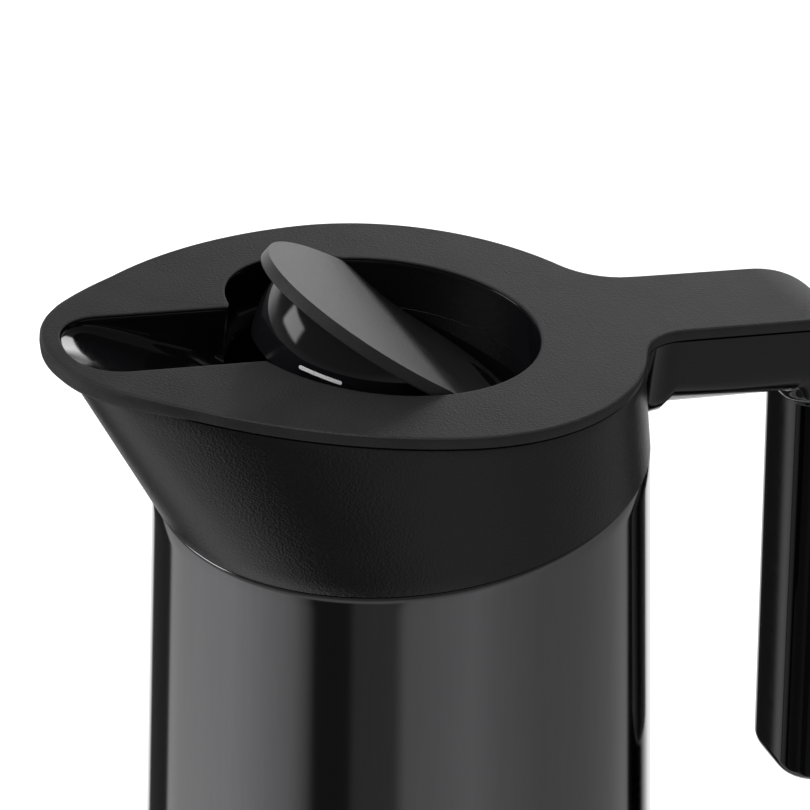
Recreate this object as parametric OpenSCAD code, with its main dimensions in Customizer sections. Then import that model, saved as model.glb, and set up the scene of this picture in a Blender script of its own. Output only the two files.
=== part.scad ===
// Thermal carafe with a rocker flap in its lid: a double-wall steel body, a moulded collar with a beak,
// a sloping top plate that runs out into an open-ended handle, and a lift-out closure that carries the flap.
// Millimetres. The origin is the centre of the foot's underside, +Z is up and -X points to the beak.

/* [Body] */
// Radius of the steel body on the level where the collar's lower edge crosses the axis
body_r = 57; // [55:0.5:60]
// Half angle of the body's cone, wider towards the foot
body_taper = 3.1; // [2:0.1:4]
// Height of the collar's lower edge at the axis
ring_z = 192; // [182:1:210]
// Slope of the collar's lower edge, higher under the handle
ring_slope = 5; // [3:0.5:6]
// Thickness of the steel sheet of the outer shell
shell_t = 0.8; // [0.6:0.1:1]
// Thickness of the steel sheet of the inner flask
flask_t = 0.8; // [0.6:0.1:1]
// Width of the vacuum gap between the two steel walls
vacuum_gap = 6.5; // [5:0.5:8]
// Inner radius of the flask's mouth
mouth_r = 39.5; // [39.5:0.1:40]
// Radius of the rounded lower corner of the inner flask
flask_corner = 14; // [8:1:20]

/* [Foot] */
// Height of the plastic base cap's visible band
cap_band = 3.6; // [3:0.2:5]
// Thickness of the base cap's floor
cap_floor = 2; // [1.5:0.1:3]
// Radius of the rubber foot pad
pad_r = 56; // [48:1:58]
// Height by which the foot pad stands proud of the base cap
pad_proud = 1.4; // [1:0.1:2]
// Depth by which the foot pad is let into the base cap
pad_recess = 1; // [0.6:0.1:1.2]

/* [Collar and top plate] */
// Height of the top plate's face over the collar's lower edge, at the axis
plate_rise = 34.4; // [34:0.2:38]
// Slope of the top plate, higher at the beak
plate_slope = 5.9; // [5:0.1:6.5]
// Thickness of the top plate's rim
plate_t = 2.6; // [2.4:0.1:3]
// Wall thickness of the collar
collar_t = 2.6; // [2.2:0.1:3]
// Width of the shadow gap above and below the collar
seam = 0.3; // [0.2:0.1:0.5]
// Distance from the axis to the centre of the beak's tip arc
tip_reach = 46.9; // [45:0.1:50]
// Radius of the beak's tip arc in plan
tip_r = 32; // [31:0.5:34]
// Radius of the long side arcs that join the body to the beak
side_r = 102; // [98:1:110]
// Overhang of the pouring lip past the rim
lip_out = 3; // [2:0.2:4]
// Height of the pouring lip
lip_h = 5.2; // [4.6:0.2:6]

/* [Pour channel and well] */
// Inner radius of the round well under the flap
well_r = 35.2; // [35.2:0.1:36]
// Distance of the well's centre from the axis, towards the beak
well_offset = 4.3; // [3:0.1:5]
// Depth of the well below the plate's face
well_depth = 22; // [21.5:0.1:22.2]
// Wall thickness of the pour channel moulding
liner_t = 1.8; // [1.4:0.1:2]
// Half the width of the pour channel
channel_half = 13.4; // [11:0.2:15]
// Angle of the channel's floor to the plate
channel_fall = 20; // [16:1:22]
// Width of the rim left between the channel's end and the beak's tip
tip_rim = 2; // [1.8:0.1:3]
// Width of the liner's lip that shows inside the plate's opening
liner_lip = 0.6; // [0.4:0.1:0.8]
// Clearance between the liner's lip and the plate
lip_gap = 0.2; // [0.1:0.05:0.3]
// Radius of the finger scoop beside the well
scoop_r = 24; // [22:0.5:25]
// Distance of the scoop's centre from the axis, towards the beak
scoop_back = 12.6; // [11:0.2:14]
// Distance of the scoop's centre from the middle plane, on the far side
scoop_side = 14.6; // [13:0.2:15]
// Depth of the finger scoop
scoop_depth = 12; // [8:1:13]
// Bore radius of the spigot that takes the closure's plug
spigot_r = 29; // [28:0.1:29.2]
// Length of the spigot below the well's floor
spigot_len = 10; // [9.5:0.5:12]

/* [Handle] */
// Half the width of the handle
handle_half = 15; // [14:0.5:16]
// Fillet radius between the round plate and the handle, in plan
handle_fillet = 16; // [12:1:18]
// Length of the straight arm, measured from the axis along the plate
arm_len = 96.4; // [92:0.1:100]
// Outer bend radius between arm and grip
bend_r = 28; // [26:1:32]
// Angle through which the handle bends from arm to grip
bend_turn = 81.1; // [78:0.5:84]
// Length of the straight grip below the bend
grip_len = 113; // [95:1:118]
// Depth of the arm below the plate's face
arm_depth = 22; // [20:0.5:22]
// Depth of the grip from its outer face to its finger side
grip_depth = 22; // [20:0.5:24]
// Softening of the inner corner between arm and grip
corner_soft = 14; // [8:1:16]
// Radius of the rounded finger-side edges
grip_round = 10; // [6:0.5:11]
// Wall thickness of the handle shell
handle_t = 2.4; // [2:0.1:3]
// Length of the rounded toe at the handle's lower end
toe_len = 5; // [4:0.5:8]
// Thickness of the steel core inside the handle
core_t = 2.5; // [2:0.1:3]
// Width of the steel core
core_w = 12; // [10:1:16]

/* [Closure] */
// Radius of the closure's base ring in the well
base_ring_r = 34.7; // [34.5:0.1:34.9]
// Radius of the closure's raised floor
floor_r = 30.5; // [30:0.1:31]
// Thickness of the closure's raised floor
floor_t = 1.8; // [1.6:0.1:2]
// Radial clearance of the plug in the spigot
plug_gap = 0.4; // [0.3:0.05:0.6]
// Wall thickness of the plug
plug_t = 3; // [2.6:0.1:3.4]
// Radial clearance of the gasket's lip in the spigot
gasket_gap = 0.1; // [0.05:0.05:0.15]
// Radius of the pour port
port_r = 8; // [6.5:0.5:8]
// Distance of the pour port from the hinge, towards the beak
port_x = 13; // [12.5:0.5:13.5]
// Radius of the hinge pin
pin_r = 1.5; // [1.2:0.1:1.8]
// Running clearance of the flap on its pin
pin_play = 0.05; // [0.02:0.01:0.1]
// Width of the hinge ears
ear_w = 9; // [8:0.5:9.6]

/* [Flap] */
// Radius of the flap's cover disc
flap_r = 34.7; // [33.5:0.1:34.8]
// Thickness of the cover disc
flap_t = 2.6; // [2.2:0.1:2.7]
// Clearance between the flap's rim and the well's wall as the flap swings
swing_gap = 0.15; // [0.1:0.05:0.3]
// Depth of the hinge below the flap's face
pivot_depth = 8; // [7.8:0.1:8.2]
// Angle of the flap when open, as it rests here
flap_open = 27.5; // [20:0.5:27.5]
// Depth of the thumb dish in the flap's rear half
dish_depth = 2.6; // [1.5:0.1:2.6]
// Distance of the dish's deepest line behind the hinge
dish_mid = 20; // [18:0.5:22]
// Radius of the ball-shaped skirt
ball_r = 29; // [28:0.1:29]
// Wall thickness of the skirt
ball_t = 2; // [1.6:0.1:2.4]
// Distance from the hinge to the skirt's flat underside
ball_drop = 10; // [9.5:0.1:10]
// Radius of the silicone seal
seal_r = 10.5; // [10:0.1:11]
// Thickness of the silicone seal
seal_t = 1.6; // [1.4:0.1:1.6]

/* [Hidden] */
$fn = 96;

big = 200;
eps = 0.01;

// Heights up the body
plate_z = ring_z + plate_rise;
cap_z = pad_proud + cap_band;
bottom_z = cap_z + 7;
vacuum_floor = 6.2;
flask_z = bottom_z + shell_t + vacuum_floor;
shoulder_z = ring_z + 6;
neck_z = ring_z + 8.6;
mouth_z = ring_z + 11;
gasket_t = 1.3;
flange_z = mouth_z + gasket_t;
flange_t = 2.2;
flange_r = 49;
mouth_wall = 2.9;
getter_r = 11;
getter_h = 3;
getter_wall = 1.5;
neck_r = mouth_r + flask_t + mouth_wall;
rim_r = neck_r + 1;
shell_step = collar_t + 0.2;

// Cone of the steel body
function cone_r(z) = body_r + (ring_z - z) * tan(body_taper);

// Arcs of the plan of plate and collar
main_r = cone_r(plate_z);
side_u = (pow(side_r - tip_r, 2) - pow(side_r - main_r, 2) - tip_reach * tip_reach) / (2 * tip_reach);
side_v = sqrt(pow(side_r - main_r, 2) - side_u * side_u);
main_turn = atan2(side_v, side_u);
tip_turn = atan2(side_v, side_u + tip_reach);
fillet_v = handle_half + handle_fillet;
fillet_u = sqrt(pow(main_r + handle_fillet, 2) - fillet_v * fillet_v);
fillet_edge = fillet_v * main_r / (main_r + handle_fillet);

// Flap and closure, measured from the hinge unless a name says otherwise
hinge_top = pivot_depth;
cover_under = hinge_top - flap_t;
dish_r = (dish_mid * dish_mid + dish_depth * dish_depth) / (2 * dish_depth);
dish_z = hinge_top - dish_depth + dish_r;
rear_drop = ball_drop * cos(flap_open);
housing_z = -well_depth + 0.1;
floor_z = housing_z + floor_t;
stop_gap = 0.3;
stop_z = -pivot_depth - rear_drop - stop_gap;
seat_z = -pivot_depth - ball_drop - seal_t - 0.15;
ear_in = ball_r + 0.5;
ear_out = base_ring_r - 0.4;
plug_r = spigot_r - plug_gap;
plug_z = housing_z - spigot_len;
plug_web = 2;
stop_x = 9;
stop_y = 15;
stop_r = 3.2;

// Screws, as shaft and head radius
small_shaft = 1.3;
small_head = 2.4;
handle_shaft = 1.6;
handle_head = 3;
tab_low = 9;
tab_high = 6;
tab_spots = [[-44, 33], [-44, -33], [41.6, 25], [41.6, -25]];
neck_spots = [45, 135, 225, 315];
neck_spot_r = 46.5;
flap_spot = [-5, 17];
seal_bite = 6.5;
handle_spot_y = 6;
core_drop = 9;
foot_h = 11;
pad_out = 3;
pad_face = cone_r(plate_z - 15) + pad_out;

// Frames of the plate, the lid and the flap
module in_plate() { translate([0, 0, plate_z]) rotate([0, plate_slope, 0]) children(); }
module in_lid() { in_plate() translate([-well_offset, 0, 0]) children(); }
module in_flap() { in_lid() translate([0, 0, -pivot_depth]) rotate([0, flap_open, 0]) children(); }

// Points of an arc about a centre, from one angle to another
function arc(c, r, a0, a1, n) = [for (i = [0:n]) let (a = a0 + (a1 - a0) * i / n) [c.x + r * cos(a), c.y + r * sin(a)]];

// Convex outline of body and beak in the plate's plane, drawn in by d
function beak_outline(d) = concat(
  arc([0, 0], main_r - d, main_turn - 180, 180 - main_turn, 42),
  arc([side_u, -side_v], side_r - d, 180 - main_turn, 180 - tip_turn, 8),
  arc([-tip_reach, 0], tip_r - d, 180 - tip_turn, 180 + tip_turn, 12),
  arc([side_u, side_v], side_r - d, 180 + tip_turn, 180 + main_turn, 8));

// The same outline with the fillets that lead into the handle's arm
fillet_turn = asin(fillet_edge / main_r);
plate_outline = concat(
  arc([fillet_u, fillet_v], handle_fillet, -90, fillet_turn - 180, 8),
  arc([0, 0], main_r, fillet_turn, 180 - main_turn, 18),
  arc([side_u, -side_v], side_r, 180 - main_turn, 180 - tip_turn, 8),
  arc([-tip_reach, 0], tip_r, 180 - tip_turn, 180 + tip_turn, 16),
  arc([side_u, side_v], side_r, 180 + tip_turn, 180 + main_turn, 8),
  arc([0, 0], main_r, 180 + main_turn, 360 - fillet_turn, 18),
  arc([fillet_u, -fillet_v], handle_fillet, 180 - fillet_turn, 90, 8));

// Opening of well, scoop and channel in the plate's plane, let out by d
module pour_plan(d) {
  translate([-well_offset, 0]) circle(r = well_r + d);
  translate([-scoop_back, scoop_side]) circle(r = scoop_r + d);
  channel_plan(d);
}
module channel_plan(d) {
  intersection() {
    translate([-tip_reach, 0]) circle(r = tip_r - tip_rim + d);
    translate([-tip_reach - tip_r, -channel_half - d]) square([tip_reach + tip_r - well_offset - well_r / 2, 2 * (channel_half + d)]);
  }
}

// Everything below or above the slanted plane of the collar's lower edge, moved up by z
module under_ring(z) { translate([0, 0, ring_z]) rotate([0, -ring_slope, 0]) translate([-big, -big, z - 2 * big]) cube(2 * big); }

// Steel body

// Outer form of the shell drawn in by d: the visible cone, and the stepped-in neck that the collar covers
module shell_form(d, low, top) {
  intersection() {
    translate([0, 0, low]) cylinder(h = shoulder_z - low, r1 = cone_r(low) - d, r2 = cone_r(shoulder_z) - d);
    under_ring(-d);
  }
  rotate_extrude() polygon([[0, low], [cone_r(low) - shell_step - d, low],
    [cone_r(shoulder_z) - shell_step - d, shoulder_z - d], [neck_r - d, neck_z - d], [neck_r - d, top], [0, top]]);
}
module outer_shell() {
  color("#2b2b2d") difference() {
    shell_form(0, cap_z, mouth_z - flask_t);
    shell_form(shell_t, cap_z - 1, mouth_z + 1);
  }
}

// Profile of the flask's wall at the distance d inside its outer face
function flask_r(z, d) = cone_r(z) - shell_t - vacuum_gap - d;
function flask_side(d) = concat(
  arc([flask_r(flask_z + flask_corner, d) - flask_corner + d, flask_z + flask_corner], flask_corner - d, -90, 0, 8),
  [[flask_r(ring_z - 1, d), ring_z - 1 - d], [mouth_r + flask_t - d, ring_z + 6 - d]]);
module inner_flask() {
  color("#b9b9bb") rotate_extrude() polygon(concat(
    [[0, flask_z]], flask_side(0),
    [[mouth_r + flask_t, mouth_z - flask_t], [rim_r, mouth_z - flask_t], [rim_r, mouth_z], [mouth_r, mouth_z]],
    [for (i = [len(flask_side(0)) - 1:-1:0]) flask_side(flask_t)[i]], [[0, flask_z + flask_t]]));
}
module shell_bottom() {
  edge = cone_r(bottom_z) - shell_t - 0.1;
  skirt = 5;
  color("#9a9a9c") rotate_extrude() polygon([[0, bottom_z], [edge - shell_t, bottom_z], [edge - shell_t, bottom_z - skirt],
    [edge, bottom_z - skirt], [edge, bottom_z + shell_t], [0, bottom_z + shell_t]]);
}
module getter_cup() {
  color("#8d8d86") translate([0, 0, flask_z - getter_h]) difference() {
    cylinder(h = getter_h, r = getter_r);
    translate([0, 0, -1]) cylinder(h = getter_h, r = getter_r - getter_wall);
  }
}
module vacuum_plug() { color("#77776f") translate([0, 0, bottom_z - 1.4]) cylinder(h = 1.4, r1 = 5, r2 = 6); }

// Base cap: a band under the shell's edge, a floor, and a ring that plugs into the shell
module base_cap() {
  ring_out = cone_r(bottom_z) - 2 * shell_t - 0.4;
  ring_in = ring_out - 2;
  band_r = cone_r(pad_proud);
  color("#1c1c1e") rotate_extrude() polygon([[0, pad_proud + pad_recess], [pad_r + 0.2, pad_proud + pad_recess],
    [pad_r + 0.2, pad_proud], [band_r - 1, pad_proud], [band_r - 0.1, pad_proud + 1], [cone_r(cap_z), cap_z],
    [ring_out, cap_z], [ring_out, bottom_z], [ring_in, bottom_z], [ring_in, pad_proud + pad_recess + cap_floor - 0.6],
    [0, pad_proud + pad_recess + cap_floor - 0.6]]);
}
module foot_pad() { color("#111112") cylinder(h = pad_proud + pad_recess, r = pad_r); }

// Collar

// Form between the collar's slanted lower edge and the plate, drawn in by d and lengthened by e at both ends
module collar_form(d, e) {
  hull() {
    intersection() {
      translate([0, 0, ring_z - 12]) cylinder(h = 24, r1 = cone_r(ring_z - 12) - d, r2 = cone_r(ring_z + 12) - d, $fn = 64);
      translate([0, 0, ring_z]) rotate([0, -ring_slope, 0]) translate([-big, -big, seam - e]) cube([2 * big, 2 * big, eps]);
    }
    in_plate() translate([0, 0, -plate_t - seam + e]) linear_extrude(eps) polygon(beak_outline(d + seam));
  }
}
module collar() {
  color("#2d2d2f") difference() {
    union() {
      difference() {
        collar_form(0, 0);
        collar_form(collar_t, 1);
      }
      intersection() {
        collar_form(1, -1);
        in_plate() for (p = tab_spots) translate([p.x, p.y, -tab_low]) rotate([0, 0, atan2(p.y, p.x)])
          translate([-4.5, -4.5, 0]) cube([20, 9, tab_low - tab_high]);
      }
      handle_pad();
    }
    in_plate() for (p = tab_spots) translate([p.x, p.y, -tab_low - 1]) cylinder(h = tab_low, r = small_shaft + 0.2, $fn = 32);
    handle_bolts(handle_shaft + 0.1, main_r / 2, main_r / 2 + pad_out + 10);
  }
}
// Flat pad at the back of the collar that the handle's core is screwed to
module handle_pad() {
  pad_half = core_w - 0.8;
  in_plate() translate([main_r - collar_t, -pad_half, -arm_depth + 6])
    cube([pad_face - main_r + collar_t, 2 * pad_half, foot_h + 1]);
}
module handle_bolts(r, start, length) {
  in_plate() for (s = [-1, 1]) translate([start, s * handle_spot_y, -arm_depth + 6 + foot_h / 2])
    rotate([0, 90, 0]) cylinder(h = length, r = r, $fn = 32);
}

// Top plate with the handle's top skin
module top_plate() {
  color("#3a3a3c") {
    in_plate() difference() {
      union() {
        translate([0, 0, -plate_t]) linear_extrude(plate_t) polygon(plate_outline);
        rotate([90, 0, 0]) translate([0, 0, -handle_half]) linear_extrude(2 * handle_half) polygon(skin_profile());
        pour_lip();
        for (p = tab_spots) translate([p.x, p.y, -tab_high]) cylinder(h = tab_high - plate_t / 2, r = 3.4);
      }
      translate([0, 0, -plate_t - 1]) linear_extrude(plate_t + 2) pour_plan(liner_lip + lip_gap);
      for (p = tab_spots) translate([p.x, p.y, -tab_high - 1]) cylinder(h = tab_high - 1, r = small_shaft, $fn = 32);
    }
  }
}
// Drooping lip round the beak's tip
module pour_lip() {
  lip_r = tip_r - 2;
  translate([-tip_reach - 2 - lip_out, 0, 0]) difference() {
    translate([0, 0, -lip_h]) rotate_extrude() polygon([[0, 0], [lip_r - 2, 0], [lip_r, lip_h - plate_t],
      [lip_r - 1.2, lip_h - 0.4], [0, lip_h - 0.4]]);
    translate([2 + lip_out, 0, -lip_h - 1]) cylinder(h = lip_h + 1 - plate_t / 2, r = tip_r + seam);
    translate([0, -big, -big]) cube(2 * big);
    translate([2 + lip_out, 0, -plate_t]) cylinder(h = plate_t + 1, r = tip_r - 1.5);
  }
}

// Handle, drawn in the plate's plane: the outer face runs along the plate, bends down and ends in a toe
bend_len = bend_r * bend_turn * PI / 180;
skin_end = arm_len + bend_len + grip_len - toe_len;
handle_end = arm_len + bend_len + grip_len;
function heading(s) = s < arm_len ? 0 : min(bend_turn, (s - arm_len) / bend_r * 180 / PI);
function face_point(s) = let (a = heading(s), tail = max(0, s - arm_len - bend_len))
  [min(s, arm_len) + bend_r * sin(a) + tail * cos(a), -bend_r * (1 - cos(a)) - tail * sin(a)];
function deep_point(s, t) = let (a = heading(s), p = face_point(s)) [p.x - t * sin(a), p.y - t * cos(a)];
arm_inner = bend_r - arm_depth;
grip_inner = bend_r - grip_depth;
function soft_max(a, b, k) = max(a, b) + k / 4 * pow(max(k - abs(a - b), 0) / k, 2);
function depth(s) = s <= arm_len ? arm_depth : s >= arm_len + bend_len ? grip_depth :
  soft_max(bend_r - arm_inner / cos(heading(s)), bend_r - grip_inner / cos(bend_turn - heading(s)), corner_soft);
bend_stops = [for (i = [0:12]) arm_len + bend_len * i / 12];
function strip(t0, t1, stops) = concat([for (s = stops) deep_point(s, t0)],
  [for (i = [len(stops) - 1:-1:0]) deep_point(stops[i], t1)]);
function skin_profile() = strip(0, plate_t, concat([fillet_u - 1], bend_stops, [skin_end]));

// Section of the handle shell at s: flat towards the skin, rounded on the finger side
function section(s, half, t0, t1, r) = let (n = 5)
  concat([[-half, t0]], [for (i = [0:n]) [-half + r - r * cos(90 * i / n), t1 - r + r * sin(90 * i / n)]],
    [for (i = [n:-1:0]) [half - r + r * cos(90 * i / n), t1 - r + r * sin(90 * i / n)]], [[half, t0]]);
function ring_at(s, half, t0, t1, r) = [for (q = section(s, half, t0, t1, r)) let (p = deep_point(s, q.y)) [p.x, q.x, p.y]];
module loft(rings) {
  n = len(rings[0]);
  m = len(rings);
  polyhedron(points = [for (g = rings) for (p = g) p], faces = concat(
    [[for (i = [0:n - 1]) i]], [[for (i = [n - 1:-1:0]) (m - 1) * n + i]],
    [for (j = [0:m - 2]) for (i = [0:n - 1]) [j * n + i, (j + 1) * n + i, j * n + (i + 1) % n]],
    [for (j = [0:m - 2]) for (i = [0:n - 1]) [j * n + (i + 1) % n, (j + 1) * n + i, (j + 1) * n + (i + 1) % n]]));
}
// How far the toe is drawn in at the share q of its length
function toe_in(q) = toe_len * 0.8 * (1 - sqrt(1 - 0.96 * q * q));
// Half the width of the handle at u: its root widens towards the collar, a little inside the plate's own fillets
function root_half(u) = u >= fillet_u ? handle_half :
  max(handle_half, fillet_v - sqrt(pow(handle_fillet + seam, 2) - pow(fillet_u - u, 2)));
module handle_shell() {
  root_len = 0.94 * handle_fillet;
  root_round = grip_round / 2;
  body_stops = concat([for (i = [0:6]) fillet_u - root_len * (1 - i / 7.5)], [arm_len - 8], bend_stops,
    [arm_len + bend_len + grip_len / 2, skin_end]);
  cavity_stops = concat([main_r / 2, arm_len - 5], [for (i = [0:11]) arm_len + bend_len * (i + 0.5) / 12],
    [arm_len + bend_len + 5, skin_end - 3]);
  color("#1b1b1d") difference() {
    in_plate() loft(concat(
      [for (s = body_stops) ring_at(s, root_half(s), plate_t + seam, depth(s), s < fillet_u ? root_round : grip_round)],
      [for (i = [0:6]) let (q = i / 6, s = skin_end + 0.1 + (toe_len - 0.1) * q, d = toe_in(q))
        ring_at(s, handle_half - d, d * 0.9, grip_depth - d, max(grip_round - d / 3, 3))]));
    in_plate() loft([for (s = cavity_stops) ring_at(s, handle_half - handle_t, 0, depth(s) - handle_t, grip_round - handle_t)]);
    collar_form(-0.1, 1);
  }
}
module handle_core() {
  foot_u = pad_face + 0.1;
  color("#8f8f91") in_plate() difference() {
    union() {
      rotate([90, 0, 0]) translate([0, 0, -core_w / 2]) linear_extrude(core_w)
        polygon(strip(core_drop, core_drop + core_t, concat([foot_u], bend_stops, [arm_len + bend_len + grip_len * 0.55])));
      translate([foot_u, -core_w + 1, -arm_depth + 6]) cube([core_t, 2 * core_w - 2, foot_h]);
    }
    for (s = [-1, 1]) translate([foot_u - 1, s * handle_spot_y, -arm_depth + 6 + foot_h / 2])
      rotate([0, 90, 0]) cylinder(h = core_t + 2, r = handle_shaft, $fn = 32);
  }
}
module handle_screws() {
  color("#a5a5a7") {
    handle_bolts(handle_shaft - 0.05, main_r - collar_t - 1, pad_face - main_r + collar_t + core_t + 2);
    handle_bolts(handle_head, main_r - collar_t - 2.6, 1.8);
  }
}
module plate_screws() {
  color("#a5a5a7") in_plate() for (p = tab_spots) translate([p.x, p.y, 0]) {
    translate([0, 0, -tab_low - 1.6]) cylinder(h = 1.6, r = small_head, $fn = 32);
    translate([0, 0, -tab_low - 0.1]) cylinder(h = tab_low - plate_t + 0.4, r = small_shaft - 0.05, $fn = 32);
  }
}

// Pour channel: trough, scoop, well and spigot in one glossy moulding, with the flange that seals on the flask
module above_floor(drop) {
  translate([-tip_reach - tip_r + tip_rim + 0.6, -big, -0.6 - drop]) rotate([0, channel_fall, 0]) translate([-big, 0, 0]) cube(2 * big);
}
module pour_channel() {
  liner_top = plate_t + 0.1;
  color("#0d0d0e") difference() {
    union() {
      in_plate() {
        translate([-well_offset, 0, -well_depth - 2]) cylinder(h = well_depth + 2 - liner_top, r = well_r + liner_t);
        translate([-scoop_back, scoop_side, -scoop_depth - liner_t]) cylinder(h = scoop_depth + liner_t - liner_top, r = scoop_r + liner_t);
        intersection() {
          translate([0, 0, -well_depth]) linear_extrude(well_depth - liner_top) channel_plan(liner_t - tip_rim - 1.6);
          above_floor(liner_t);
        }
        intersection() {
          translate([0, 0, -well_depth]) linear_extrude(well_depth - liner_top) intersection() {
            channel_plan(liner_t);
            polygon(beak_outline(collar_t + 2 * seam + 1.8));
          }
          above_floor(liner_t);
        }
        translate([0, 0, -liner_top - 0.1]) linear_extrude(liner_top - 0.5) pour_plan(liner_lip);
      }
      in_lid() translate([0, 0, -well_depth - spigot_len]) cylinder(h = spigot_len, r = spigot_r + liner_t);
      translate([0, 0, flange_z]) cylinder(h = flange_t, r = flange_r);
    }
    in_lid() translate([0, 0, -well_depth]) cylinder(h = big, r = well_r);
    in_lid() translate([0, 0, -well_depth - spigot_len - 1]) cylinder(h = big, r = spigot_r);
    in_plate() {
      translate([-scoop_back, scoop_side, -scoop_depth]) cylinder(h = big, r = scoop_r);
      intersection() {
        translate([0, 0, -well_depth]) linear_extrude(big) channel_plan(0);
        above_floor(0);
      }
    }
    neck_bolts(small_shaft + 0.2, flange_z - 1, flange_t + 2);
  }
}
module neck_bolts(r, z, h) {
  for (a = neck_spots) rotate([0, 0, a]) translate([neck_spot_r, 0, z]) cylinder(h = h, r = r, $fn = 32);
}
module flask_gasket() {
  color("#d6d6d2") translate([0, 0, mouth_z]) difference() {
    cylinder(h = gasket_t, r = rim_r - 0.2);
    translate([0, 0, -1]) cylinder(h = gasket_t + 2, r = mouth_r + 0.7);
  }
}
// Two half rings under the flask's rolled rim, drawn up against the flange by screws
module neck_clamp() {
  under_rim = mouth_z - flask_t - 0.05;
  color("#26262a") difference() {
    rotate_extrude() polygon([[neck_r + 0.1, neck_z + 0.1], [flange_r, neck_z - 0.4], [flange_r, flange_z - 0.05],
      [rim_r + 0.2, flange_z - 0.05], [rim_r + 0.2, under_rim], [neck_r + 0.1, under_rim]]);
    translate([-0.5, -big, 0]) cube([1, 2 * big, 2 * big]);
    neck_bolts(small_shaft - 0.02, 0, 2 * big);
  }
}
module neck_screws() {
  color("#a5a5a7") {
    neck_bolts(small_head, flange_z + flange_t, 1.6);
    neck_bolts(small_shaft - 0.05, neck_z + 0.3, flange_z + flange_t - neck_z);
  }
}

// Closure, drawn in the lid's frame
module closure_housing() {
  color("#131314") in_lid() difference() {
    union() {
      translate([0, 0, housing_z]) cylinder(h = 0.9, r = base_ring_r);
      translate([0, 0, housing_z]) cylinder(h = floor_t, r = floor_r);
      translate([-port_x, 0, housing_z]) cylinder(h = seat_z - housing_z, r = port_r + 1.5);
      for (s = [-1, 1]) {
        translate([-ear_w / 2, s > 0 ? ear_in : -ear_out, housing_z]) cube([ear_w, ear_out - ear_in, -pivot_depth - housing_z]);
        translate([0, s > 0 ? ear_in : -ear_out, -pivot_depth]) rotate([-90, 0, 0]) cylinder(h = ear_out - ear_in, r = ear_w / 2);
        translate([stop_x, s * stop_y, housing_z]) cylinder(h = stop_z - housing_z, r = stop_r);
      }
    }
    translate([-port_x, 0, housing_z - 1]) cylinder(h = 20, r = port_r);
    translate([0, -big, -pivot_depth]) rotate([-90, 0, 0]) cylinder(h = 2 * big, r = pin_r);
    for (s = [-1, 1]) translate([stop_x, s * stop_y, housing_z - 1]) cylinder(h = 4, r = small_shaft, $fn = 32);
  }
}
module closure_plug() {
  groove = 3;
  color("#131314") in_lid() difference() {
    translate([0, 0, plug_z]) cylinder(h = spigot_len - 0.05, r = plug_r);
    translate([0, 0, plug_z - 1]) cylinder(h = spigot_len + 0.95 - plug_web, r = plug_r - plug_t);
    translate([0, 0, plug_z + 3]) difference() {
      cylinder(h = groove, r = big);
      translate([0, 0, -1]) cylinder(h = groove + 2, r = plug_r - 1.6);
    }
    translate([-port_x, 0, plug_z]) cylinder(h = 2 * spigot_len, r = port_r);
    for (s = [-1, 1]) translate([stop_x, s * stop_y, plug_z]) cylinder(h = 2 * spigot_len, r = small_shaft + 0.1, $fn = 32);
  }
}
// Silicone ring with two lips that seals the plug in the spigot
module closure_gasket() {
  inner = plug_r - 1.55;
  outer = spigot_r - gasket_gap;
  color("#c9c9c4") in_lid() translate([0, 0, plug_z + 3.05]) rotate_extrude() polygon([[inner, 0], [outer - 0.6, 0],
    [outer, 0.5], [outer - 0.6, 1.2], [outer - 0.6, 1.7], [outer, 2.3], [outer - 0.6, 2.9], [inner, 2.9]]);
}
module closure_screws() {
  color("#a5a5a7") in_lid() for (s = [-1, 1]) translate([stop_x, s * stop_y, 0]) {
    translate([0, 0, housing_z - plug_web - 1.5]) cylinder(h = 1.45, r = small_head, $fn = 32);
    translate([0, 0, housing_z - plug_web - 0.1]) cylinder(h = 4, r = small_shaft - 0.05, $fn = 32);
  }
}
module hinge_pin() {
  color("#c0c0c2") in_lid() translate([0, -ear_out, -pivot_depth]) rotate([-90, 0, 0]) cylinder(h = 2 * ear_out, r = pin_r);
}
// Leaf spring on the closure's floor that the flap's rear underside snaps over
module detent_spring() {
  leaf_t = 0.4;
  leaf_w = 8;
  half_span = 9;
  rise = stop_z - floor_z - leaf_t;
  leaf_r = (half_span * half_span + rise * rise) / (2 * rise);
  leaf_turn = asin(half_span / leaf_r);
  color("#c6c6c0") in_lid() translate([stop_x + 5, leaf_w / 2, floor_z + rise - leaf_r]) rotate([90, 0, 0])
    linear_extrude(leaf_w) polygon(concat(arc([0, 0], leaf_r, 90 - leaf_turn, 90 + leaf_turn, 16),
      arc([0, 0], leaf_r + leaf_t, 90 + leaf_turn, 90 - leaf_turn, 16)));
}

// Flap, drawn closed with the hinge axis along Y through the origin

// Line of the cover's face from front to rear, moved down by d
dish_turn = asin(dish_mid / dish_r);
function cover_line(d) = concat([[-2 * flap_r, hinge_top - d]],
  arc([dish_mid, dish_z], dish_r + d, -90 - dish_turn, -90 + dish_turn, 16), [[2 * flap_r, hinge_top - d]]);
module across(points) { rotate([90, 0, 0]) translate([0, 0, -big]) linear_extrude(2 * big) polygon(points); }

// Space under the cover's underside, or under a surface d below it
module under_cover(d) {
  across(concat(cover_line(flap_t + d), [[2 * flap_r, -big], [-2 * flap_r, -big]]));
}
module flap_cover() {
  color("#6b6b6d") in_flap() difference() {
    union() {
      intersection() {
        translate([0, 0, -hinge_top]) cylinder(h = 3 * hinge_top, r = flap_r);
        sphere(r = well_r - swing_gap);
        across(concat(cover_line(0), [for (i = [len(cover_line(0)) - 1:-1:0]) cover_line(flap_t)[i]]));
      }
      for (s = [-1, 1]) translate([flap_spot.x, s * flap_spot.y, -2]) cylinder(h = cover_under + 3, r = 2.8);
    }
    for (s = [-1, 1]) translate([flap_spot.x, s * flap_spot.y, -3]) cylinder(h = 8, r = small_shaft, $fn = 32);
  }
}
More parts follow.
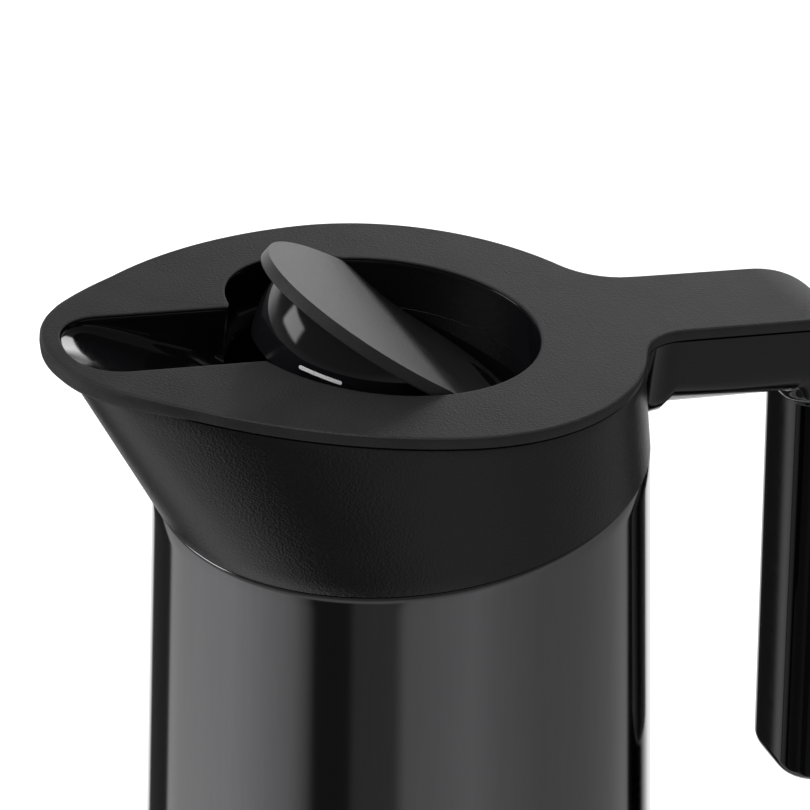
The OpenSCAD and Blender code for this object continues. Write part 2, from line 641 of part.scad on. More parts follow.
// Space above the flat front underside and the rising rear underside, moved up by d
module over_flats(d) {
  intersection() {
    translate([-big, -big, -ball_drop + d]) cube(2 * big);
    rotate([0, -flap_open, 0]) translate([-big, -big, -rear_drop + d]) cube(2 * big);
  }
}
module flap_skirt() {
  color("#0f0f10") in_flap() difference() {
    intersection() {
      sphere(r = ball_r);
      over_flats(0);
      under_cover(0.05);
    }
    difference() {
      intersection() {
        sphere(r = ball_r - ball_t);
        over_flats(ball_t);
      }
      rotate([-90, 0, 0]) for (s = [-1, 1]) translate([0, 0, s > 0 ? 20 : -ball_r]) cylinder(h = ball_r - 20, r = pin_r + 2.2);
      for (s = [-1, 1]) translate([flap_spot.x, s * flap_spot.y, -ball_drop]) cylinder(h = ball_drop - 2.1, r = 3.6);
      translate([-port_x, 0, -ball_drop]) cylinder(h = 7, r = 3.4);
    }
    translate([0, -big, 0]) rotate([-90, 0, 0]) cylinder(h = 2 * big, r = pin_r + pin_play);
    for (s = [-1, 1]) {
      translate([-big, s > 0 ? ball_r - 0.4 : -big - ball_r + 0.4, -big]) cube([2 * big, big, 2 * big]);
      translate([flap_spot.x, s * flap_spot.y, -ball_drop - 1]) cylinder(h = ball_drop, r = small_shaft + 0.1, $fn = 32);
      translate([flap_spot.x, s * flap_spot.y, -ball_drop - 1]) cylinder(h = 2.8, r = small_head + 0.2, $fn = 32);
    }
    translate([-port_x, 0, -ball_drop - 1]) cylinder(h = seal_bite, r = small_shaft, $fn = 32);
  }
}
module flap_screws() {
  color("#a5a5a7") in_flap() for (s = [-1, 1]) translate([flap_spot.x, s * flap_spot.y, 0]) {
    translate([0, 0, -ball_drop + 0.1]) cylinder(h = 1.6, r = small_head, $fn = 32);
    translate([0, 0, -ball_drop + 1]) cylinder(h = ball_drop + 2, r = small_shaft - 0.05, $fn = 32);
  }
}
module flap_seal() {
  color("#cfcfca") in_flap() translate([-port_x, 0, -ball_drop - seal_t]) difference() {
    cylinder(h = seal_t, r = seal_r);
    translate([0, 0, -1]) cylinder(h = seal_t + 2, r = small_shaft + 0.1, $fn = 32);
  }
}
module seal_retainer() {
  color("#a9a9ab") in_flap() translate([-port_x, 0, -ball_drop - seal_t - 0.8]) difference() {
    cylinder(h = 0.8, r = port_r - 2);
    translate([0, 0, -1]) cylinder(h = 3, r = small_shaft + 0.1, $fn = 32);
  }
}
module seal_screw() {
  color("#a5a5a7") in_flap() translate([-port_x, 0, -ball_drop - seal_t - 0.8]) {
    translate([0, 0, -1.2]) cylinder(h = 1.2, r = small_head, $fn = 32);
    translate([0, 0, -0.1]) cylinder(h = seal_bite, r = small_shaft - 0.05, $fn = 32);
  }
}

outer_shell();
inner_flask();
shell_bottom();
getter_cup();
vacuum_plug();
base_cap();
foot_pad();
collar();
top_plate();
plate_screws();
pour_channel();
flask_gasket();
neck_clamp();
neck_screws();
handle_shell();
handle_core();
handle_screws();
closure_housing();
closure_plug();
closure_gasket();
closure_screws();
hinge_pin();
detent_spring();
flap_cover();
flap_skirt();
flap_screws();
flap_seal();
seal_retainer();
seal_screw();
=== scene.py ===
"""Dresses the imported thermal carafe: steel body, collar, top plate, pour channel, rocker flap and handle."""

import math

import bpy
from mathutils import Matrix, Vector


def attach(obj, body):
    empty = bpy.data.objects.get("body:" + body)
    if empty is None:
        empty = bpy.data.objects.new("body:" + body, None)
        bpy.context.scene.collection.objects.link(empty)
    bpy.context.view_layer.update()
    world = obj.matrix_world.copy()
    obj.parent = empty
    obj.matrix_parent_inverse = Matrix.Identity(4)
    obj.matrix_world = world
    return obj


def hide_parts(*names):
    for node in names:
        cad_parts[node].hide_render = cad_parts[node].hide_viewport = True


bl_info = {
    "name": "Thermal carafe",
    "version": (1, 0, 0),
    "blender": (4, 5, 0),
    "location": "View3D > Sidebar > Carafe",
    "description": "Builds the visible pieces of a thermal carafe around its packed solids",
    "category": "Object",
}

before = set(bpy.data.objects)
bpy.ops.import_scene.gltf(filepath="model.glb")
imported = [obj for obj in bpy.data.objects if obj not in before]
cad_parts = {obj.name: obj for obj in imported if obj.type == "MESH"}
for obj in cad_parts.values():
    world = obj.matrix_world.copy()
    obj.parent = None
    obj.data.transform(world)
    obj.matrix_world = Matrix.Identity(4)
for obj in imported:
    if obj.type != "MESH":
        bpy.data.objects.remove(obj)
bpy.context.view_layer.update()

# All lengths below are millimetres in the part's own frame, and angles are degrees.
MM = 0.001
BODY_R = 57.0
TAPER = math.tan(math.radians(3.1))
RING_Z = 192.0
RING_RISE = math.tan(math.radians(5.0))
PLATE_Z = 226.4
PLATE_SLOPE = math.radians(5.9)
PLATE_T = 2.6
SEAM = 0.3
COLLAR_T = 2.6
CAP_Z = 5.0
PAD_PROUD = 1.4
TIP_REACH = 46.9
TIP_R = 32.0
SIDE_R = 102.0
WELL_R = 35.0
WELL_BACK = 4.3
WELL_DEPTH = 22.0
CHANNEL_HALF = 13.4
CHANNEL_END = -77.6
CHANNEL_STRAIGHT = -66.0
CHANNEL_FALL = math.tan(math.radians(20))
SCOOP = (-12.6, 14.6, 23.2)
SCOOP_DEPTH = 12.0
HANDLE_HALF = 15.0
HANDLE_FILLET = 16.0
ARM_LEN = 96.4
BEND_R = 28.0
BEND_TURN = 81.1
GRIP_LEN = 113.0
ARM_DEPTH = 22.0
GRIP_DEPTH = 22.0
CORNER_SOFT = 14.0
GRIP_ROUND = 10.0
TOE_LEN = 5.0
PIVOT_DEPTH = 8.0
FLAP_OPEN = math.radians(27.5)
FLAP_R = 34.8
FLAP_T = 2.7
SWING_R = 34.95
BALL_R = 29.7
BALL_DROP = 10.0


def cos(degrees):
    return math.cos(math.radians(degrees))


def sin(degrees):
    return math.sin(math.radians(degrees))


def cone_r(z):
    """Radius of the steel body's cone at a height."""
    return BODY_R + (RING_Z - z) * TAPER


MAIN_R = cone_r(PLATE_Z)
SIDE_U = ((SIDE_R - TIP_R) ** 2 - (SIDE_R - MAIN_R) ** 2 - TIP_REACH**2) / (2 * TIP_REACH)
SIDE_V = math.sqrt((SIDE_R - MAIN_R) ** 2 - SIDE_U**2)
MAIN_TURN = math.degrees(math.atan2(SIDE_V, SIDE_U))
TIP_TURN = math.degrees(math.atan2(SIDE_V, SIDE_U + TIP_REACH))
FILLET_V = HANDLE_HALF + HANDLE_FILLET
FILLET_U = math.sqrt((MAIN_R + HANDLE_FILLET) ** 2 - FILLET_V**2)
FILLET_TURN = math.degrees(math.asin(FILLET_V / (MAIN_R + HANDLE_FILLET)))
BEND_LEN = BEND_R * math.radians(BEND_TURN)
SKIN_START = 66.0
SKIN_END = ARM_LEN + BEND_LEN + GRIP_LEN - TOE_LEN
ROOT_LEN = 15.04


def plate_point(u, v, w):
    """A point given along, across and above the top plate's face."""
    c, s = math.cos(PLATE_SLOPE), math.sin(PLATE_SLOPE)
    return (u * c + w * s, v, PLATE_Z - u * s + w * c)


def lid_point(u, v, w):
    """A point measured from the centre of the round well."""
    return plate_point(u - WELL_BACK, v, w)


def flap_point(x, y, z):
    """A point of the flap, measured from its hinge with the flap shut, where the open flap carries it."""
    c, s = math.cos(FLAP_OPEN), math.sin(FLAP_OPEN)
    return lid_point(x * c + z * s, y, -x * s + z * c - PIVOT_DEPTH)


def srgb(text):
    """A hex colour as linear red, green, blue and alpha."""
    values = [int(text[i : i + 2], 16) / 255 for i in (1, 3, 5)]
    linear = [v / 12.92 if v <= 0.04045 else ((v + 0.055) / 1.055) ** 2.4 for v in values]
    return (*linear, 1.0)


# Soft boxes of the studio: compass and height angle, half width and half height, brightness.
SOFT_BOXES = ((152, 18, 13, 6.5, 3.0), (57, 12, 9, 4.5, 3.5), (90, 85, 16, 16, 2.4))

# Modelling helpers


def only(*objects):
    """Leaves just these objects selected, the first of them active."""
    if bpy.context.object is not None and bpy.context.object.mode != "OBJECT":
        bpy.ops.object.mode_set(mode="OBJECT")
    bpy.ops.object.select_all(action="DESELECT")
    for item in objects:
        item.select_set(True)
    bpy.context.view_layer.objects.active = objects[0]


def laid_grid(name, rows, wrap=True, solid=True):
    """A grid primitive laid along rows of points in mm, closed round each row when wrap is set."""
    bpy.ops.object.select_all(action="DESELECT")
    across = len(rows[0]) if wrap else len(rows[0]) - 1
    bpy.ops.mesh.primitive_grid_add(x_subdivisions=across, y_subdivisions=len(rows) - 1, size=1)
    piece = bpy.context.object
    piece.name = name
    piece.data.name = name
    flat = []
    for row in rows:
        for point in list(row) + ([row[0]] if wrap else []):
            flat.extend(c * MM for c in point)
    piece.data.vertices.foreach_set("co", flat)
    piece.location = (0, 0, 0)
    bpy.ops.object.mode_set(mode="EDIT")
    bpy.ops.mesh.select_all(action="SELECT")
    bpy.ops.mesh.remove_doubles(threshold=2e-6)
    if solid:
        bpy.ops.mesh.normals_make_consistent(inside=False)
    bpy.ops.object.mode_set(mode="OBJECT")
    return piece


def ring_point(phi, inset, lift):
    """Point of the cone, drawn in by inset, on the slanted plane of the collar's lower edge, plus a lift."""
    z = RING_Z
    for _ in range(8):
        r = cone_r(z) - inset
        z = RING_Z + r * cos(phi) * RING_RISE + lift
    return (r * cos(phi), r * sin(phi), z)


def level_ring(radius, height):
    """A level circle of a turned piece, as a function of the angle round the axis."""
    return lambda phi: (radius * cos(phi), radius * sin(phi), height)


def slanted_ring(inset, lift):
    return lambda phi: ring_point(phi, inset, lift)


def turned(name, rings, steps=192):
    """A turned piece from rings given as functions of the angle, closed unless it ends on the axis."""
    rows = [[ring(360 * i / steps) for i in range(steps)] for ring in rings]
    on_axis = math.hypot(*rows[0][0][:2]) < 1e-6
    return laid_grid(name, rows if on_axis else rows + [rows[0]])


def apply_modifiers(piece):
    only(piece)
    for modifier in list(piece.modifiers):
        bpy.ops.object.modifier_apply(modifier=modifier.name)


def thicken(piece, thickness, offset=-1.0):
    """Gives a surface a wall on the side away from its normals."""
    wall = piece.modifiers.new("wall", "SOLIDIFY")
    wall.thickness = thickness * MM
    wall.offset = offset
    wall.use_even_offset = False
    apply_modifiers(piece)


def join(*pieces):
    only(*pieces)
    bpy.ops.object.join()
    return pieces[0]


def cut_away(piece, point, normal):
    """Cuts a piece with a plane, drops what the normal points to and closes the cut."""
    only(piece)
    bpy.ops.object.mode_set(mode="EDIT")
    bpy.ops.mesh.select_all(action="SELECT")
    bpy.ops.mesh.bisect(
        plane_co=[c * MM for c in point], plane_no=normal, use_fill=True, clear_outer=True, threshold=1e-6
    )
    bpy.ops.object.mode_set(mode="OBJECT")


def dress(piece, material, body, nodes=(), smooth=35.0):
    """Shades a finished piece, gives it its material and hangs it on its body."""
    only(piece)
    bpy.ops.object.shade_smooth_by_angle(angle=math.radians(smooth))
    piece.data.materials.clear()
    piece.data.materials.append(material)
    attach(piece, body)
    if nodes:
        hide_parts(*nodes)
    return piece


def rounded(radius, start, end, centre, steps=4):
    """Points of a small arc in a profile."""
    return [
        (centre[0] + radius * cos(start + (end - start) * i / steps),
         centre[1] + radius * sin(start + (end - start) * i / steps))
        for i in range(steps + 1)
    ]


# Outlines in the plate's plane


def beak(phi, inset=0.0):
    """Point of the convex outline of body and beak whose outward normal has the angle phi."""
    phi = (phi + 180) % 360 - 180
    side = 1 if phi >= 0 else -1
    turn = abs(phi)
    if turn <= 180 - MAIN_TURN:
        cu, cv, r = 0.0, 0.0, MAIN_R
    elif turn <= 180 - TIP_TURN:
        cu, cv, r = SIDE_U, -SIDE_V * side, SIDE_R
    else:
        cu, cv, r = -TIP_REACH, 0.0, TIP_R
    return cu + (r - inset) * cos(phi), cv + (r - inset) * sin(phi)


def plate_outline(end):
    """Outline of the plate with its fillets and the handle's arm, counterclockwise from the arm's end."""
    half = [(end, 0.0), (end, HANDLE_HALF)]
    half += [(FILLET_U + (end - FILLET_U) * i / 6, HANDLE_HALF) for i in range(5, 0, -1)]
    for i in range(11):
        a = -90 + (FILLET_TURN - 90) * i / 10
        half.append((FILLET_U + HANDLE_FILLET * cos(a), FILLET_V + HANDLE_FILLET * sin(a)))
    phi = FILLET_TURN
    while phi < 180:
        phi = min(phi + 1.5, 180)
        half.append(beak(phi))
    return half + [(u, -v) for u, v in reversed(half[1:-1])]


def offset_loop(points, d):
    """A closed line moved sideways by d, to the right of its direction for a positive d."""
    moved = []
    n = len(points)
    for i in range(n):
        (x0, y0), (x1, y1), (x2, y2) = points[i - 1], points[i], points[(i + 1) % n]
        a = Vector((x1 - x0, y1 - y0)).normalized()
        b = Vector((x2 - x1, y2 - y1)).normalized()
        na, nb = Vector((a.y, -a.x)), Vector((b.y, -b.x))
        mid = (na + nb).normalized()
        moved.append((x1 + mid.x * d / max(mid.dot(na), 0.5), y1 + mid.y * d / max(mid.dot(na), 0.5)))
    return moved


def channel_half(u):
    """Half the width of the pour channel at u, closing to a rounded end at the beak."""
    if u >= CHANNEL_STRAIGHT:
        return CHANNEL_HALF
    t = min(1.0, (CHANNEL_STRAIGHT - u) / (CHANNEL_STRAIGHT - CHANNEL_END))
    return CHANNEL_HALF * (1 - t**2.3) ** (1 / 2.3)


def scoop_reach(theta):
    """Distance from the well's centre to the scoop's circle in the direction theta."""
    du, dv = SCOOP[0] + WELL_BACK, SCOOP[1]
    along = du * cos(theta) + dv * sin(theta)
    return along + math.sqrt(max(0.0, SCOOP[2] ** 2 - du * du - dv * dv + along * along))


def channel_reach(theta):
    """Distance from the well's centre to the channel's edge in the direction theta, or 0."""
    if cos(theta) > -0.9:
        return 0.0
    low, high = 30.0, 80.0
    for _ in range(40):
        r = (low + high) / 2
        u, v = -WELL_BACK + r * cos(theta), r * sin(theta)
        if u > CHANNEL_END and abs(v) < channel_half(u):
            low = r
        else:
            high = r
    return low


def opening_reach(theta):
    return max(WELL_R, scoop_reach(theta), channel_reach(theta))


def cast(outline, theta):
    """Distance from the well's centre to an outline in the direction theta."""
    ox, oy = -WELL_BACK, 0.0
    dx, dy = cos(theta), sin(theta)
    best = 0.0
    for i in range(len(outline)):
        (x1, y1), (x2, y2) = outline[i - 1], outline[i]
        ex, ey = x2 - x1, y2 - y1
        cross = dx * ey - dy * ex
        if abs(cross) < 1e-12:
            continue
        t = ((x1 - ox) * ey - (y1 - oy) * ex) / cross
        s = ((x1 - ox) * dy - (y1 - oy) * dx) / cross
        if -1e-9 <= s <= 1 + 1e-9:
            best = max(best, t)
    return best


def opening_angles():
    """Directions in which plate and liner are sampled, with every corner of the opening among them."""
    corner = 180 - math.degrees(math.asin(CHANNEL_HALF / WELL_R))
    corners = (corner, 360 - corner, 154.1, 85.1)
    angles = {float(i) for i in range(360)} | {165 + 0.5 * i for i in range(61)}
    kept = [angle for angle in angles if min(abs(angle - c) for c in corners) > 0.45]
    return sorted(kept + list(corners))


ANGLES = opening_angles()


def ray_loop(reach):
    return [(-WELL_BACK + reach(a) * cos(a), reach(a) * sin(a)) for a in ANGLES]


# Handle lines


def heading(s):
    return 0.0 if s < ARM_LEN else min(BEND_TURN, math.degrees((s - ARM_LEN) / BEND_R))


def handle_point(s, v, t):
    """A point at the length s along the handle's outer face, across by v and inwards by t."""
    a = heading(s)
    tail = max(0.0, s - ARM_LEN - BEND_LEN)
    u = min(s, ARM_LEN) + BEND_R * sin(a) + tail * cos(a) - t * sin(a)
    w = -BEND_R * (1 - cos(a)) - tail * sin(a) - t * cos(a)
    return plate_point(u, v, w)


def handle_depth(s):
    if s <= ARM_LEN:
        return ARM_DEPTH
    if s >= ARM_LEN + BEND_LEN:
        return GRIP_DEPTH
    arm = BEND_R - (BEND_R - ARM_DEPTH) / cos(heading(s))
    grip = BEND_R - (BEND_R - GRIP_DEPTH) / cos(BEND_TURN - heading(s))
    near = max(CORNER_SOFT - abs(arm - grip), 0) / CORNER_SOFT
    return max(arm, grip) + CORNER_SOFT / 4 * near**2


# Materials


def add_node(tree, kind, links=None, **settings):
    """Adds a node with its settings, then sets or links its inputs by name or number."""
    node = tree.nodes.new(kind)
    for key, value in settings.items():
        setattr(node, key, value)
    for key, value in (links or {}).items():
        if isinstance(value, bpy.types.NodeSocket):
            tree.links.new(value, node.inputs[key])
        else:
            node.inputs[key].default_value = value
    return node


def new_material(name):
    material = bpy.data.materials.new(name)
    material.use_nodes = True
    tree = material.node_tree
    tree.nodes.clear()
    shader = add_node(tree, "ShaderNodeBsdfPrincipled")
    out = add_node(tree, "ShaderNodeOutputMaterial")
    tree.links.new(shader.outputs["BSDF"], out.inputs["Surface"])
    place = add_node(tree, "ShaderNodeTexCoord").outputs["Object"]
    return material, tree, shader, place


def per_metre(size_mm):
    """Texture scale whose features are size_mm across."""
    return 1000.0 / size_mm


def shade_ramp(tree, value, stops):
    """A colour ramp fed by a value, with stops of (position, hex colour)."""
    node = add_node(tree, "ShaderNodeValToRGB", {"Fac": value})
    ramp = node.color_ramp
    ramp.elements[0].position, ramp.elements[0].color = stops[0][0], srgb(stops[0][1])
    ramp.elements[1].position, ramp.elements[1].color = stops[-1][0], srgb(stops[-1][1])
    for position, text in stops[1:-1]:
        ramp.elements.new(position).color = srgb(text)
    return node.outputs["Color"]


def level(tree, value, low, high):
    """Maps a texture's 0 to 1 to a range."""
    node = add_node(tree, "ShaderNodeMapRange", {"Value": value, "To Min": low, "To Max": high})
    return node.outputs["Result"]


def calculated(tree, operation, first, second):
    """The result of one sum on two values."""
    return add_node(tree, "ShaderNodeMath", {0: first, 1: second}, operation=operation).outputs[0]


def bumped(tree, shader, height, strength, distance_mm, normal=None):
    links = {"Height": height, "Strength": strength, "Distance": distance_mm * MM}
    if normal is not None:
        links["Normal"] = normal
    node = add_node(tree, "ShaderNodeBump", links)
    tree.links.new(node.outputs["Normal"], shader.inputs["Normal"])
    return node.outputs["Normal"]


def grained_abs(name, dark, light, rough, grain_mm=0.5, ior=1.5):
    """Moulded ABS from a spark-eroded tool: a fine even grain that scatters light, with faint mottling."""
    material, tree, shader, place = new_material(name)
    mottle = add_node(tree, "ShaderNodeTexNoise", {"Vector": place, "Scale": per_metre(9), "Detail": 3.0})
    colour = shade_ramp(tree, mottle.outputs["Fac"], [(0.3, dark), (0.7, light)])
    tree.links.new(colour, shader.inputs["Base Color"])
    grain = add_node(tree, "ShaderNodeTexVoronoi", {"Vector": place, "Scale": per_metre(grain_mm)},
                     feature="SMOOTH_F1")
    dust = add_node(tree, "ShaderNodeTexNoise", {"Vector": place, "Scale": per_metre(0.35), "Detail": 2.0})
    tree.links.new(level(tree, dust.outputs["Fac"], rough - 0.08, rough + 0.08), shader.inputs["Roughness"])
    first = bumped(tree, shader, grain.outputs["Distance"], 0.8, 0.09)
    bumped(tree, shader, dust.outputs["Fac"], 0.4, 0.06, first)
    shader.inputs["IOR"].default_value = ior
    return material


def polished_abs(name, hex_colour, rough=0.07):
    """Moulded ABS from a polished tool: a deep gloss with the slightest waviness and a few hair scratches."""
    material, tree, shader, place = new_material(name)
    shader.inputs["Base Color"].default_value = srgb(hex_colour)
    shader.inputs["IOR"].default_value = 1.53
    wave = add_node(tree, "ShaderNodeTexNoise", {"Vector": place, "Scale": per_metre(14), "Detail": 1.0})
    hairs = add_node(tree, "ShaderNodeTexNoise", {"Vector": place, "Scale": per_metre(2.5), "Detail": 5.0})
    tree.links.new(level(tree, hairs.outputs["Fac"], rough - 0.03, rough + 0.05), shader.inputs["Roughness"])
    bumped(tree, shader, wave.outputs["Fac"], 0.12, 0.05)
    return material


def lacquered_steel(name):
    """Polished stainless under a tinted clear lacquer: dark mirror bands with soft edges and a hard gloss."""
    material, tree, shader, place = new_material(name)
    drawn = add_node(tree, "ShaderNodeMapping", {"Vector": place, "Scale": (1.0, 1.0, 0.04)})
    lines = add_node(tree, "ShaderNodeTexNoise",
                     {"Vector": drawn.outputs["Vector"], "Scale": per_metre(1.2), "Detail": 4.0})
    colour = shade_ramp(tree, lines.outputs["Fac"], [(0.3, "#727274"), (0.7, "#757577")])
    tree.links.new(colour, shader.inputs["Base Color"])
    tree.links.new(level(tree, lines.outputs["Fac"], 0.08, 0.11), shader.inputs["Roughness"])
    shader.inputs["Metallic"].default_value = 1.0
    shader.inputs["Coat Weight"].default_value = 0.6
    shader.inputs["Coat Roughness"].default_value = 0.06
    bumped(tree, shader, lines.outputs["Fac"], 0.01, 0.01)
    return material


def turned_steel(name, dark, light, rough, line_mm=0.6):
    """Bare stainless with fine marks from drawing or turning."""
    material, tree, shader, place = new_material(name)
    marks = add_node(tree, "ShaderNodeMapping", {"Vector": place, "Scale": (0.15, 0.15, 1.0)})
    lines = add_node(tree, "ShaderNodeTexNoise",
                     {"Vector": marks.outputs["Vector"], "Scale": per_metre(line_mm), "Detail": 3.0})
    colour = shade_ramp(tree, lines.outputs["Fac"], [(0.3, dark), (0.7, light)])
    tree.links.new(colour, shader.inputs["Base Color"])
    tree.links.new(level(tree, lines.outputs["Fac"], rough - 0.06, rough + 0.06), shader.inputs["Roughness"])
    shader.inputs["Metallic"].default_value = 1.0
    bumped(tree, shader, lines.outputs["Fac"], 0.12, 0.02)
    return material


def moulded_rubber(name, dark, light, rough, sheen):
    """Moulded rubber or silicone: dull, slightly dusty and softly lit at its edges."""
    material, tree, shader, place = new_material(name)
    dust = add_node(tree, "ShaderNodeTexNoise", {"Vector": place, "Scale": per_metre(3), "Detail": 5.0})
    colour = shade_ramp(tree, dust.outputs["Fac"], [(0.35, dark), (0.65, light)])
    tree.links.new(colour, shader.inputs["Base Color"])
    tree.links.new(level(tree, dust.outputs["Fac"], rough - 0.07, rough + 0.07), shader.inputs["Roughness"])
    shader.inputs["IOR"].default_value = 1.43
    shader.inputs["Sheen Weight"].default_value = sheen
    bumped(tree, shader, dust.outputs["Fac"], 0.15, 0.05)
    return material


def printed_ink(name, hex_colour):
    """Pad-printed light ink: flat, satin, with tiny pinholes."""
    material, tree, shader, place = new_material(name)
    dots = add_node(tree, "ShaderNodeTexNoise", {"Vector": place, "Scale": per_metre(0.4), "Detail": 2.0})
    colour = shade_ramp(tree, dots.outputs["Fac"], [(0.25, "#8d8d8d"), (0.4, hex_colour)])
    tree.links.new(colour, shader.inputs["Base Color"])
    shader.inputs["Roughness"].default_value = 0.45
    return material


FINISHES = {}


def make_finishes(settings):
    """The finishes by name; the plate's colours come from the settings."""
    plate = (settings.plate_dark, settings.plate_light)
    FINISHES["plate"] = grained_abs("abs_grained_plate", *plate, 0.5, ior=1.42)
    FINISHES["collar"] = grained_abs("abs_grained_collar", "#0a0a0b", "#0d0d0e", 0.31)
    FINISHES["cover"] = grained_abs("abs_grained_flap", "#202021", "#262627", 0.38, 0.45)
    FINISHES["gloss"] = polished_abs("abs_polished_black", "#0e0e10", 0.06)
    FINISHES["handle"] = polished_abs("abs_polished_handle", "#060607", 0.09)
    FINISHES["steel"] = lacquered_steel("steel_tinted_lacquer")
    FINISHES["flask"] = turned_steel("steel_drawn_flask", "#a9a9aa", "#b9b9ba", 0.3)
    FINISHES["fastener"] = turned_steel("steel_bright_fastener", "#b4b4b4", "#c8c8c8", 0.25, 0.3)
    FINISHES["solder"] = turned_steel("solder_dull", "#6f6f6a", "#85857f", 0.5)
    FINISHES["silicone"] = moulded_rubber("silicone_translucent_grey", "#bdbdb8", "#c9c9c4", 0.45, 0.1)
    FINISHES["foot"] = moulded_rubber("rubber_foot_black", "#121213", "#1a1a1b", 0.7, 0.15)
    FINISHES["ink"] = printed_ink("ink_light_grey", "#d2d2d2")


# Settings


class CarafeSettings(bpy.types.PropertyGroup):
    """Sizes and colours that change the carafe's look"""

    plate_dark: bpy.props.StringProperty(
        name="Plate dark", description="Darker tone of the plate's plastic as a hex colour", default="#1f1f20"
    )
    plate_light: bpy.props.StringProperty(
        name="Plate light", description="Lighter tone of the plate's plastic as a hex colour",
        default="#252526"
    )
    edge_round: bpy.props.FloatProperty(
        name="Edge rounding", description="Radius of the plate's upper edges in mm",
        default=0.6, min=0.2, max=1.0
    )
    lip_out: bpy.props.FloatProperty(
        name="Lip overhang", description="How far the pouring lip stands past the rim, in mm",
        default=3.0, min=1.0, max=4.0
    )
    world_fill: bpy.props.FloatProperty(
        name="Fill light", description="Strength of the even light from all around",
        default=0.5, min=0.0, max=2.0
    )


def settings():
    return bpy.context.scene.carafe


# Operators


class CARAFE_OT_body(bpy.types.Operator):
    """Makes the steel shell, the base cap and the foot pad"""

    bl_idname = "carafe.body"
    bl_label = "Steel body and foot"

    def execute(self, context):
        low = CAP_Z + 0.3
        rings = [level_ring(cone_r(low) - 0.8, low), level_ring(cone_r(low) - 0.4, low - 0.05)]
        rings += [level_ring(cone_r(z), z) for z in (low + 0.4, 40.0, 80.0, 120.0, 150.0, 175.0)]
        rings += [slanted_ring(0.0, -12.0), slanted_ring(0.0, -5.0)]
        rings += [slanted_ring(0.75 * (1 - cos(9 * i)), 3.2 * (sin(9 * i) - 1)) for i in range(10)]
        rings += [slanted_ring(0.95, 0.06), slanted_ring(2.6, 0.06), slanted_ring(2.9, 0.3)]
        rings += [slanted_ring(2.9, 6.0), slanted_ring(3.7, 6.0)]
        rings += [slanted_ring(3.7, -1.5), slanted_ring(0.8, -2.0), level_ring(cone_r(175) - 0.8, 175.0)]
        shell = turned("steel_body", rings, 240)
        dress(shell, FINISHES["steel"], "carafe", ["outer_shell"], 30)

        pad = 56.2
        band = cone_r(PAD_PROUD)
        ring = 64.7
        profile = [(0.0, 2.45), (pad, 2.45), (pad, PAD_PROUD)]
        profile += rounded(1.0, -90, 0, (band - 1.2, PAD_PROUD + 1.0), 5)
        profile += [(cone_r(4.6) - 0.2, 4.7), (cone_r(4.6) - 0.5, CAP_Z), (ring, CAP_Z), (ring, 12.0)]
        profile += [(ring - 2, 12.0), (ring - 2, 3.8), (0.0, 3.8)]
        cap = turned("base_cap_moulding", [level_ring(r, z) for r, z in profile])
        dress(cap, FINISHES["collar"], "carafe", ["base_cap"])

        profile = [(0.0, 2.4), (56.0, 2.4), (56.0, 0.5)]
        profile += rounded(0.5, 0, -90, (55.5, 0.5), 3)
        for r in (50.0, 42.0, 34.0):
            profile += [(r + 0.8, 0.0), (r + 0.4, 0.5), (r - 0.4, 0.5), (r - 0.8, 0.0)]
        profile += [(0.0, 0.0)]
        foot = turned("foot_pad_ribbed", [level_ring(r, z) for r, z in profile], 128)
        dress(foot, FINISHES["foot"], "carafe", ["foot_pad"])
        return {"FINISHED"}


class CARAFE_OT_collar(bpy.types.Operator):
    """Makes the collar that runs from the steel's slanted edge up to the beaked plate"""

    bl_idname = "carafe.collar"
    bl_label = "Collar"

    def top_point(self, phi, inset, w):
        u, v = beak(phi, inset)
        return Vector(plate_point(u, v, w))

    def wall(self, phi, inset, share):
        low = Vector(ring_point(phi, inset, SEAM))
        high = self.top_point(phi, inset + SEAM, -PLATE_T - SEAM)
        return low.lerp(high, share)

    def execute(self, context):
        stations = [
            (2.0, 0.0), (0.5, 0.0), (0.15, 0.003), (0.0, 0.010), (0.0, 0.1), (0.0, 0.3), (0.0, 0.5),
            (0.0, 0.7), (0.0, 0.9), (0.0, 0.985), (0.1, 0.996), (0.4, 1.0), (2.4, 1.0), (COLLAR_T, 0.99),
            (COLLAR_T, 0.75), (COLLAR_T, 0.5), (COLLAR_T, 0.25), (COLLAR_T, 0.02),
        ]
        steps = 240
        rows = []
        for inset, share in stations + [stations[0]]:
            rows.append([tuple(self.wall(360 * i / steps, inset, share)) for i in range(steps)])
        piece = laid_grid("collar_moulding", rows)
        dress(piece, FINISHES["collar"], "carafe", ["collar"])
        return {"FINISHED"}


